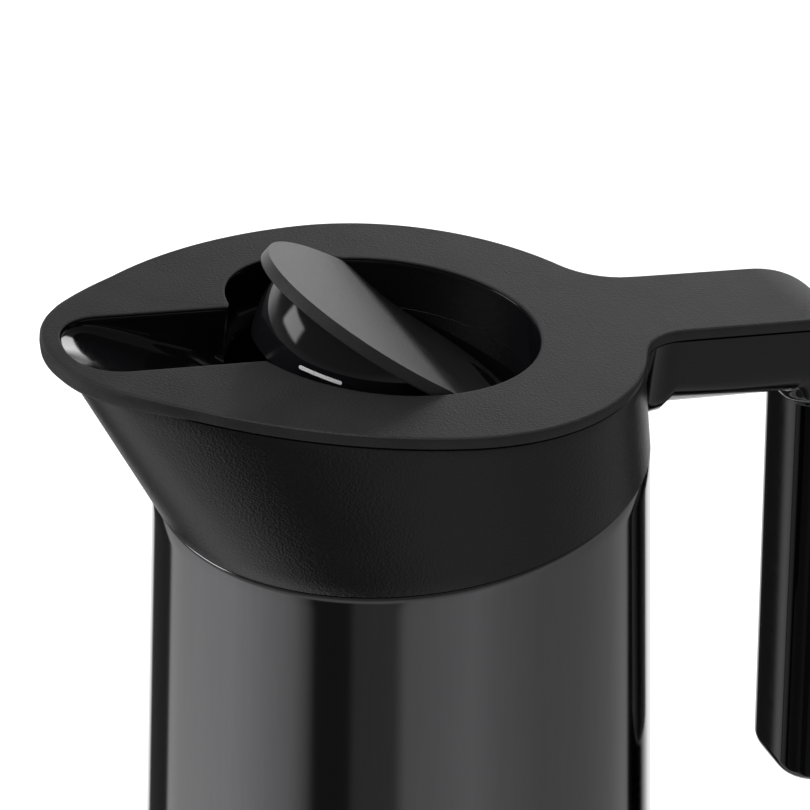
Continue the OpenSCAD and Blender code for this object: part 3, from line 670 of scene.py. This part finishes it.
class CARAFE_OT_plate(bpy.types.Operator):
    """Makes the top plate with its opening and the drooping lip of the beak"""

    bl_idname = "carafe.plate"
    bl_label = "Top plate"

    def lip_out(self, point):
        """How far the lip stands out at a point of the outline: full at the tip and nothing at its sides."""
        along = (-point[0] - TIP_REACH) / TIP_R
        return settings().lip_out * max(0.0, (along - 0.35) / 0.65) ** 1.1

    def execute(self, context):
        outline = plate_outline(95.0)
        base = [(-WELL_BACK + cast(outline, a) * cos(a), cast(outline, a) * sin(a)) for a in ANGLES]
        hole = ray_loop(opening_reach)
        e = settings().edge_round
        rim = []
        rim += [(2.6, -PLATE_T, 0.0, 0.0), (0.5, -PLATE_T, 0.0, 1.0), (0.12, -PLATE_T + 0.12, 0.5, 1.0)]
        rim += [(0.0, -PLATE_T + 0.5, 0.9, 0.6), (0.0, -PLATE_T / 2, 1.0, 0.2), (0.0, -e, 1.0, 0.05)]
        rim += [(e * 0.3, -e * 0.3, 0.9, 0.0), (e, 0.0, 0.7, 0.0), (e + 0.3, 0.0, 0.68, 0.0)]
        rows = []
        for inset, w, out, droop in rim:
            moved = offset_loop(base, -inset)
            row = []
            for (u, v), (bu, bv) in zip(moved, base):
                push = self.lip_out((bu, bv))
                away = Vector((bu + TIP_REACH, bv)).normalized() if bu < -TIP_REACH else Vector((0, 0))
                du, dv = away.x * push * out, away.y * push * out
                row.append(plate_point(u + du, v + dv, w - push * droop * 0.75))
            rows.append(row)
        edge = [(0.8, 0.0), (0.45, 0.0), (0.2, -0.08), (0.06, -0.28), (0.06, -0.35), (0.3, -0.45)]
        for gap, w in edge + [(0.8, -0.47), (0.8, -PLATE_T)]:
            rows.append([plate_point(u, v, w) for u, v in offset_loop(hole, gap)])
        rows.append(rows[0])
        piece = laid_grid("top_plate_moulding", rows)
        cut_away(piece, plate_point(SKIN_START, 0, 0), (math.cos(PLATE_SLOPE), 0, -math.sin(PLATE_SLOPE)))
        dress(piece, FINISHES["plate"], "carafe", ["top_plate"])
        return {"FINISHED"}


class CARAFE_OT_handle(bpy.types.Operator):
    """Makes the handle's matte skin and its glossy body"""

    bl_idname = "carafe.handle"
    bl_label = "Handle"

    def stops(self, start):
        line = [start, (start + ARM_LEN) / 2, ARM_LEN - 2]
        line += [ARM_LEN + BEND_LEN * i / 28 for i in range(29)]
        line += [ARM_LEN + BEND_LEN + (GRIP_LEN - TOE_LEN) * i / 4 for i in range(1, 5)]
        return line

    def execute(self, context):
        e = settings().edge_round
        h = HANDLE_HALF
        section = [(-h + 0.5, PLATE_T), (-h + 0.12, PLATE_T - 0.12), (-h, PLATE_T - 0.5), (-h, PLATE_T / 2)]
        section += [(-h, e), (-h + e * 0.3, e * 0.3), (-h + e, 0.0), (-h + e + 0.3, 0.0)]
        section = section + [(-v, t) for v, t in reversed(section)]
        inside = PLATE_T / 2
        rows = [[handle_point(SKIN_START, 0, inside)] * len(section)]
        rows += [[handle_point(s, v, t) for v, t in section] for s in self.stops(SKIN_START)]
        rows.append([handle_point(SKIN_END, 0, inside)] * len(section))
        skin = laid_grid("handle_top_skin", rows)
        dress(skin, FINISHES["plate"], "carafe", ["top_plate"])

        def ring(s, half, t0, t1, r):
            n = 8
            left = [(-half, t0), (-half, t0 + 1.0), (-half, (t0 + t1 - r) / 2)]
            left += [(-half + r - r * cos(90 * i / n), t1 - r + r * sin(90 * i / n)) for i in range(n + 1)]
            whole = left + [(-v, t) for v, t in reversed(left)]
            return [handle_point(s, v, t) for v, t in whole]

        rows = []
        for i in range(7):
            u = FILLET_U - ROOT_LEN * (1 - i / 7.5)
            half = max(h, FILLET_V - math.sqrt((HANDLE_FILLET + SEAM) ** 2 - (FILLET_U - u) ** 2))
            rows.append(ring(u, half, PLATE_T + SEAM, ARM_DEPTH, 5.0))
        for s in self.stops(FILLET_U):
            rows.append(ring(s, h, PLATE_T + SEAM, handle_depth(s), GRIP_ROUND))
        for i in range(13):
            q = sin(90 * i / 12)
            s = SKIN_END + 0.1 + (TOE_LEN - 0.1) * q
            d = TOE_LEN * 0.8 * (1 - math.sqrt(1 - 0.96 * q * q))
            rows.append(ring(s, h - d, d * 0.9, GRIP_DEPTH - d, max(GRIP_ROUND - d / 3, 3)))
        middle = handle_point(SKIN_END + TOE_LEN, 0, GRIP_DEPTH / 2)
        rows = [[handle_point(FILLET_U - ROOT_LEN, 0, 12)] * len(rows[0])] + rows + [[middle] * len(rows[0])]
        body = laid_grid("handle_body_moulding", rows)
        dress(body, FINISHES["handle"], "carafe", ["handle_shell"])
        return {"FINISHED"}


class CARAFE_OT_channel(bpy.types.Operator):
    """Makes the glossy pour channel with its rim, trough, well and finger scoop"""

    bl_idname = "carafe.channel"
    bl_label = "Pour channel"

    def trough_point(self, u, turn):
        """Place across and height of the trough's section at u, with turn from 0 to 180 across it."""
        near_tip = min(1.0, max(0.0, (-u - 50) / 26))
        power = 2 / (5.0 - 2.6 * near_tip)
        deep = 0.2 + max(0.0, (u - CHANNEL_END)) * CHANNEL_FALL
        half = channel_half(u) + 0.05
        v = math.copysign(half * abs(cos(turn)) ** power, -cos(turn))
        return v, -0.9 - deep * sin(turn) ** power

    def mouth_height(self, v):
        """Height of the trough's surface where it meets the well, at the distance v from the middle."""
        low, high = 90.0, 180.0
        for _ in range(30):
            turn = (low + high) / 2
            u = -WELL_BACK - math.sqrt(WELL_R**2 - v * v)
            if abs(self.trough_point(u, turn)[0]) < abs(v):
                low = turn
            else:
                high = turn
        return self.trough_point(u, low)[1]

    def execute(self, context):
        hole = ray_loop(opening_reach)
        rim = [(0.62, -2.8), (0.62, -0.75), (0.5, -0.62), (0.3, -0.55), (0.1, -0.62), (0.0, -0.8)]
        rim += [(0.0, -1.8), (0.3, -2.8)]
        rows = [[plate_point(u, v, w) for u, v in offset_loop(hole, gap)] for gap, w in rim + [rim[0]]]
        lip = laid_grid("channel_liner", rows)

        turns = [180 * i / 40 for i in range(40, -1, -1)]
        stations = [CHANNEL_END + 0.02 + 11.6 * (i / 14) ** 2 for i in range(15)]
        stations += [-66 + 25.5 * i / 16 for i in range(1, 17)]
        rows = []
        for u in stations:
            rows.append([plate_point(u, *self.trough_point(u, t)) for t in turns])
        last = []
        for t in turns:
            v, w = self.trough_point(-38.0, t)
            u = -WELL_BACK - math.sqrt(WELL_R**2 - min(abs(v), CHANNEL_HALF) ** 2)
            last.append(plate_point(u, *self.trough_point(u, t)))
        rows.append(last)
        trough = laid_grid("trough", rows, wrap=False, solid=False)
        thicken(trough, 1.4)

        rows = []
        levels = 15
        for k in range(levels):
            row = []
            for a in ANGLES:
                scoop = max(WELL_R, scoop_reach(a)) + 0.05
                v = WELL_R * sin(a)
                in_mouth = cos(a) < 0 and abs(v) < CHANNEL_HALF
                top = self.mouth_height(v) if in_mouth else -1.0
                if in_mouth:
                    profile = [(WELL_R, top)] * 9
                else:
                    wide = scoop - WELL_R
                    r = min(2.5, wide)
                    profile = [(scoop, -1.0), (scoop, -SCOOP_DEPTH / 2), (scoop, -SCOOP_DEPTH + r)]
                    profile += [(scoop - r * (1 - cos(22.5 * i)), -SCOOP_DEPTH + r * (1 - sin(22.5 * i)))
                                for i in range(1, 5)]
                    profile += [(WELL_R + min(0.6, wide * 0.2), -SCOOP_DEPTH), (WELL_R, -SCOOP_DEPTH - 0.6)]
                profile += [(WELL_R, -17.0), (WELL_R, -WELL_DEPTH), (31.0, -WELL_DEPTH)]
                profile += [(29.0, -WELL_DEPTH - 0.4), (29.0, -27.0), (29.0, -WELL_DEPTH - 10)]
                r, w = profile[k]
                row.append(lid_point(r * cos(a), r * sin(a), w))
            rows.append(row)
        well = laid_grid("well", rows, solid=False)
        thicken(well, 1.4)
        piece = join(lip, trough, well)
        dress(piece, FINISHES["gloss"], "carafe", ["pour_channel"], 40)
        return {"FINISHED"}


class CARAFE_OT_flap(bpy.types.Operator):
    """Makes the rocker flap: the grained cover with its thumb dish and the ball-shaped glossy skirt"""

    bl_idname = "carafe.flap"
    bl_label = "Rocker flap"

    def face(self, x):
        """Height of the cover's face over the hinge: flat in front, a soft crease, and dished behind."""
        if x <= -3:
            return PIVOT_DEPTH
        dish = PIVOT_DEPTH - 3.7 * math.sin(math.pi / 2 * min(1.0, max(x, 0.0) / 19))
        dish += 0.7 * max(0.0, (x - 19) / 15) ** 2
        if x >= 3:
            return dish
        return PIVOT_DEPTH - ((x + 3) / 6) ** 2 * (PIVOT_DEPTH - self.face(3.0))

    def reach(self, r, z):
        """Limits a distance from the cover's axis so that the rear rim swings clear of the well's wall."""
        return min(r, math.sqrt(SWING_R**2 - z * z))

    def execute(self, context):
        steps = 240
        t = FLAP_T
        inner = [(r, 0.0) for r in (0.0, 3, 6, 9, 12, 15, 18, 21, 24, 27, 30, 32, 33.2, FLAP_R - 0.9)]
        rim = [(FLAP_R - 0.6, 0.0), (FLAP_R - 0.32, 0.1), (FLAP_R - 0.1, 0.32), (FLAP_R, 0.6), (FLAP_R, 0.9)]
        rim += [(FLAP_R, t - 0.5), (FLAP_R - 0.1, t - 0.2), (FLAP_R - 0.4, t)]
        under = [(r, t) for r in (FLAP_R - 1, 31, 28, 24, 20, 16, 12, 8, 4, 0)]
        rows = []
        for r, down in inner + rim + under:
            row = []
            for i in range(steps):
                a = 360 * i / steps + 0.75
                z = self.face(r * cos(a)) - down
                limit = self.reach(r, z)
                x, y = limit * cos(a), limit * sin(a)
                row.append(flap_point(x, y, self.face(x) - down))
            rows.append(row)
        cover = laid_grid("flap_cover_disc", rows)
        dress(cover, FINISHES["cover"], "flap", ["flap_cover"], 40)

        drop_rear = BALL_DROP * math.cos(FLAP_OPEN)

        def bottom(x):
            """Lowest height of the skirt at x: flat in front, rising behind so that the open flap clears."""
            rear = (x * math.sin(FLAP_OPEN) - drop_rear) / math.cos(FLAP_OPEN)
            return max(-BALL_DROP, rear)

        def ball(z, a):
            """Radius of the skirt at a height, a little less beside the hinge."""
            side = max(0.0, 1 - abs(BALL_R * cos(a)) / 8)
            return math.sqrt((BALL_R - 0.45 * side) ** 2 - z * z)

        heights = [6.0, 5.98, 5.6, 5.3, 5.05, 4.8, 4.4]
        heights += [4.0 - 14.0 * i / 20 for i in range(21)]
        rows = []
        for k, z in enumerate([6.0] * 3 + heights + [-10.0] * 3):
            row = []
            for i in range(steps):
                a = 360 * i / steps
                r = ball(z, a)
                if k < 3:
                    r = (0.0, 12.0, 22.0)[k]
                if k >= 3 + len(heights):
                    r = (20.0, 10.0, 0.0)[k - 3 - len(heights)]
                x, y = r * cos(a), r * sin(a)
                cap = self.face(x) - t - 0.25
                row.append(flap_point(x, y, max(min(z, cap), bottom(x))))
            rows.append(row)
        skirt = laid_grid("flap_ball_skirt", rows)
        dress(skirt, FINISHES["gloss"], "flap", ["flap_skirt"], 30)
        self.light_bar()
        return {"FINISHED"}

    def light_bar(self):
        """A plain printed bar where the skirt faces the pouring side, laid on the ball's surface."""
        first, last = Vector((-25.2, -14.8, -5.9)).normalized(), Vector((-19.3, -22.4, -3.4)).normalized()
        across = first.cross(last).normalized()
        length = first.angle(last)
        along = across.cross(first).normalized()
        half, lift = 0.42, BALL_R + 0.03
        rows = []
        for i in range(-8, 33):
            share = min(1.0, max(0.0, i / 24))
            turn = length * share
            width = half
            if i < 0:
                turn -= half / BALL_R * sin(90 * -i / 8)
                width = half * cos(90 * -i / 8)
            if i > 24:
                turn += half / BALL_R * sin(90 * (i - 24) / 8)
                width = half * cos(90 * (i - 24) / 8)
            middle = first * math.cos(turn) + along * math.sin(turn)
            row = []
            for k in range(5):
                side = across * (width * (k / 2 - 1) / BALL_R)
                row.append(flap_point(*((middle + side).normalized() * lift)))
            rows.append(row)
        bar = laid_grid("flap_printed_bar", rows, wrap=False, solid=False)
        thicken(bar, 0.05)
        dress(bar, FINISHES["ink"], "flap")


class CARAFE_OT_nodes(bpy.types.Operator):
    """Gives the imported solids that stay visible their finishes"""

    bl_idname = "carafe.nodes"
    bl_label = "Inner pieces"

    def execute(self, context):
        finish = {
            "inner_flask": "flask", "shell_bottom": "flask", "getter_cup": "flask", "vacuum_plug": "solder",
            "plate_screws": "fastener", "flask_gasket": "silicone", "neck_clamp": "collar",
            "neck_screws": "fastener", "handle_core": "fastener", "handle_screws": "fastener",
            "closure_housing": "gloss", "closure_plug": "gloss", "closure_gasket": "silicone",
            "closure_screws": "fastener", "hinge_pin": "fastener", "detent_spring": "fastener",
            "flap_screws": "fastener", "flap_seal": "silicone", "seal_retainer": "fastener",
            "seal_screw": "fastener",
        }
        for node, name in finish.items():
            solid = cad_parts[node]
            solid.data.materials.clear()
            solid.data.materials.append(FINISHES[name])
        for node in ("outer_shell", "base_cap", "foot_pad", "collar", "top_plate", "handle_shell",
                     "pour_channel", "flap_cover", "flap_skirt"):
            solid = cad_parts[node]
            solid.data.materials.clear()
            solid.data.materials.append(FINISHES["collar"])
        return {"FINISHED"}


class CARAFE_OT_stage(bpy.types.Operator):
    """Makes the floor, the world, the lamps and the camera"""

    bl_idname = "carafe.stage"
    bl_label = "Stage"

    def floor(self):
        bpy.ops.object.select_all(action="DESELECT")
        bpy.ops.mesh.primitive_plane_add(size=12, location=(0, 0, -0.0002))
        floor = bpy.context.object
        floor.name = "floor"
        material, tree, shader, place = new_material("floor_white_paper")
        shader.inputs["Base Color"].default_value = (0.8, 0.8, 0.8, 1)
        shader.inputs["Roughness"].default_value = 0.9
        path = add_node(tree, "ShaderNodeLightPath")
        straight, through = path.outputs["Is Camera Ray"], path.outputs["Is Transmission Ray"]
        seen = calculated(tree, "MAXIMUM", straight, through)
        glow = calculated(tree, "MULTIPLY", seen, 0.45)
        shader.inputs["Emission Color"].default_value = (1, 1, 1, 1)
        tree.links.new(glow, shader.inputs["Emission Strength"])
        floor.data.materials.append(material)
        floor.visible_glossy = False

    def world(self):
        """White for the camera, an even fill for matte light, and panels by direction for glossy light."""
        world = bpy.data.worlds.new("studio")
        bpy.context.scene.world = world
        world.use_nodes = True
        tree = world.node_tree
        tree.nodes.clear()
        toward = add_node(tree, "ShaderNodeTexCoord").outputs["Generated"]
        parts = add_node(tree, "ShaderNodeSeparateXYZ", {0: toward})
        angle = calculated(tree, "ARCTAN2", parts.outputs["Y"], parts.outputs["X"])
        turn = add_node(tree, "ShaderNodeMapRange", {"Value": angle, "From Min": -math.pi, "From Max": math.pi})
        panels = add_node(tree, "ShaderNodeValToRGB", {"Fac": turn.outputs["Result"]})
        # Panel brightness by compass direction in degrees, counterclockwise from the handle's side.
        bands = [
            (-180, 0.60), (-160, 0.40), (-153, 0.20), (-149, 0.03), (-134, 0.03), (-131, 0.10),
            (-113.5, 0.11), (-109, 0.30), (-98, 0.33), (-80, 0.40), (-67, 0.32), (-47, 0.25), (-24, 0.25),
            (-3, 0.29), (7, 0.36), (12, 0.36), (14, 0.0), (30, 0.0), (37, 0.5), (44, 1.0), (88, 0.95),
            (94, 0.04), (120, 0.03), (122.5, 0.60), (133, 0.57), (149, 0.66), (168, 0.69), (180, 0.60),
        ]
        self.fill_ramp(panels, [((degrees + 180) / 360, value) for degrees, value in bands])
        # Brightness by height: the room's dim walls above the panels, and a soft ceiling light overhead.
        up = parts.outputs["Z"]
        rise = add_node(tree, "ShaderNodeMapRange", {"Value": up, "From Min": -1.0, "From Max": 1.0})
        walls = add_node(tree, "ShaderNodeValToRGB", {"Fac": rise.outputs["Result"]})
        heights = [(-0.1, 0.30), (0.1, 0.22), (0.2, 0.10), (0.7, 0.07), (0.84, 0.2), (0.92, 0.7), (1.0, 0.7)]
        self.fill_ramp(walls, [((z + 1) / 2, value) for z, value in heights])
        # The white wall behind, seen at the horizon between 15 and 125 degrees.
        behind = add_node(tree, "ShaderNodeValToRGB", {"Fac": turn.outputs["Result"]})
        wall = [(0, 0.0), (12, 0.0), (30, 0.6), (112, 0.6), (130, 0.0), (180, 0.0)]
        self.fill_ramp(behind, [((degrees + 180) / 360, value) for degrees, value in wall])
        band = add_node(tree, "ShaderNodeValToRGB", {"Fac": rise.outputs["Result"]})
        self.fill_ramp(band, [(0.40, 0.0), (0.43, 1.0), (0.54, 1.0), (0.58, 0.0)])
        lower = add_node(tree, "ShaderNodeMapRange", {"Value": up, "From Min": -0.12, "From Max": -0.06})
        sides = add_node(tree, "ShaderNodeMix", {0: lower.outputs["Result"], 6: panels.outputs["Color"],
                                                 7: walls.outputs["Color"]}, data_type="RGBA")
        glow = calculated(tree, "MULTIPLY", behind.outputs["Color"], band.outputs["Color"])
        total = calculated(tree, "ADD", sides.outputs[2], glow)
        for box in SOFT_BOXES:
            total = calculated(tree, "ADD", total, self.soft_box(tree, toward, *box))
        path = add_node(tree, "ShaderNodeLightPath")
        glossy = add_node(tree, "ShaderNodeBackground", {"Color": total, "Strength": 1.0})
        even = settings().world_fill
        fill = add_node(tree, "ShaderNodeBackground", {"Color": (1, 1, 1, 1), "Strength": even})
        white = add_node(tree, "ShaderNodeBackground", {"Color": (1, 1, 1, 1), "Strength": 1.0})
        first = add_node(tree, "ShaderNodeMixShader", {0: path.outputs["Is Glossy Ray"], 1: fill.outputs[0],
                                                       2: glossy.outputs[0]})
        straight, through = path.outputs["Is Camera Ray"], path.outputs["Is Transmission Ray"]
        clear = calculated(tree, "MAXIMUM", straight, through)
        second = add_node(tree, "ShaderNodeMixShader", {0: clear, 1: first.outputs[0], 2: white.outputs[0]})
        out = add_node(tree, "ShaderNodeOutputWorld")
        tree.links.new(second.outputs[0], out.inputs["Surface"])

    def fill_ramp(self, node, stops):
        """Sets a grey ramp's stops."""
        ramp = node.color_ramp
        for _ in range(len(stops) - 2):
            ramp.elements.new(0.5)
        for element, (position, value) in zip(ramp.elements, stops):
            element.position = position
            element.color = (value, value, value, 1)

    def share(self, tree, toward, axis):
        """How far a direction points along an axis."""
        node = add_node(tree, "ShaderNodeVectorMath", {0: toward, 1: tuple(axis)}, operation="DOT_PRODUCT")
        return node.outputs["Value"]

    def soft_box(self, tree, toward, azimuth, height, width, tall, power):
        """A glow round one direction, given by compass and height angles and its half widths in degrees."""
        centre = Vector((cos(azimuth) * cos(height), sin(azimuth) * cos(height), sin(height)))
        side = Vector((-sin(azimuth), cos(azimuth), 0))
        up = centre.cross(side)
        ends = []
        for axis, half in ((side, width), (up, tall)):
            far = add_node(tree, "ShaderNodeMath", {0: self.share(tree, toward, axis)}, operation="ABSOLUTE")
            limits = {"From Min": sin(half) * 0.75, "From Max": sin(half) * 1.15, "To Min": 1.0, "To Max": 0.0}
            fade = add_node(tree, "ShaderNodeMapRange", {"Value": far.outputs[0], **limits},
                            interpolation_type="SMOOTHSTEP")
            ends.append(fade.outputs["Result"])
        facing = calculated(tree, "GREATER_THAN", self.share(tree, toward, centre), 0.0)
        both = calculated(tree, "MULTIPLY", ends[0], ends[1])
        kept = calculated(tree, "MULTIPLY", both, facing)
        return calculated(tree, "MULTIPLY", kept, power)

    def lamp(self, name, place, target, size, power):
        bpy.ops.object.light_add(type="AREA", location=place)
        lamp = bpy.context.object
        lamp.name = name
        lamp.data.shape = "RECTANGLE"
        lamp.data.size, lamp.data.size_y = size
        lamp.data.energy = power
        lamp.visible_glossy = False
        lamp.rotation_euler = (Vector(target) - Vector(place)).to_track_quat("-Z", "Y").to_euler()

    def execute(self, context):
        self.floor()
        self.world()
        self.lamp("lamp_left", (-0.75, 0.1, 0.75), (0, 0, 0.2), (0.7, 0.7), 6.0)
        self.lamp("lamp_back", (-0.2, 0.9, 0.8), (0, 0, 0.2), (0.9, 0.5), 7.0)
        camera = bpy.data.objects.new("camera", bpy.data.cameras.new("camera"))
        bpy.context.scene.collection.objects.link(camera)
        camera.data.lens = 113.68
        camera.data.sensor_width = 36.0
        camera.data.clip_start = 0.01
        turn = Matrix(((0.93145821, 0.17086851, -0.32123131), (-0.36375966, 0.45680894, -0.81179092),
                       (0.00803183, 0.87300031, 0.48765351)))
        camera.matrix_world = Matrix.Translation((-0.1861076, -0.4720923, 0.4884999)) @ turn.to_4x4()
        # The floor carries the whole picture: it fills the view behind and below the carafe.
        bpy.context.scene.camera = camera
        bpy.context.scene.view_settings.view_transform = "Standard"
        return {"FINISHED"}


class CARAFE_PT_panel(bpy.types.Panel):
    """Lists the carafe's settings and building steps"""

    bl_idname = "CARAFE_PT_panel"
    bl_label = "Thermal carafe"
    bl_space_type = "VIEW_3D"
    bl_region_type = "UI"
    bl_category = "Carafe"

    def draw(self, context):
        for name in CarafeSettings.__annotations__:
            self.layout.prop(context.scene.carafe, name)
        for step in STEPS:
            self.layout.operator(step.bl_idname)


STEPS = (CARAFE_OT_stage, CARAFE_OT_body, CARAFE_OT_collar, CARAFE_OT_plate, CARAFE_OT_handle,
         CARAFE_OT_channel, CARAFE_OT_flap, CARAFE_OT_nodes)
CLASSES = (CarafeSettings, *STEPS, CARAFE_PT_panel)


def register():
    for item in CLASSES:
        bpy.utils.register_class(item)
    bpy.types.Scene.carafe = bpy.props.PointerProperty(type=CarafeSettings)


def unregister():
    del bpy.types.Scene.carafe
    for item in reversed(CLASSES):
        bpy.utils.unregister_class(item)


def main():
    register()
    make_finishes(settings())
    bpy.ops.carafe.stage()
    bpy.ops.carafe.body()
    bpy.ops.carafe.collar()
    bpy.ops.carafe.plate()
    bpy.ops.carafe.handle()
    bpy.ops.carafe.channel()
    bpy.ops.carafe.flap()
    bpy.ops.carafe.nodes()


if __name__ == "__main__":
    main()
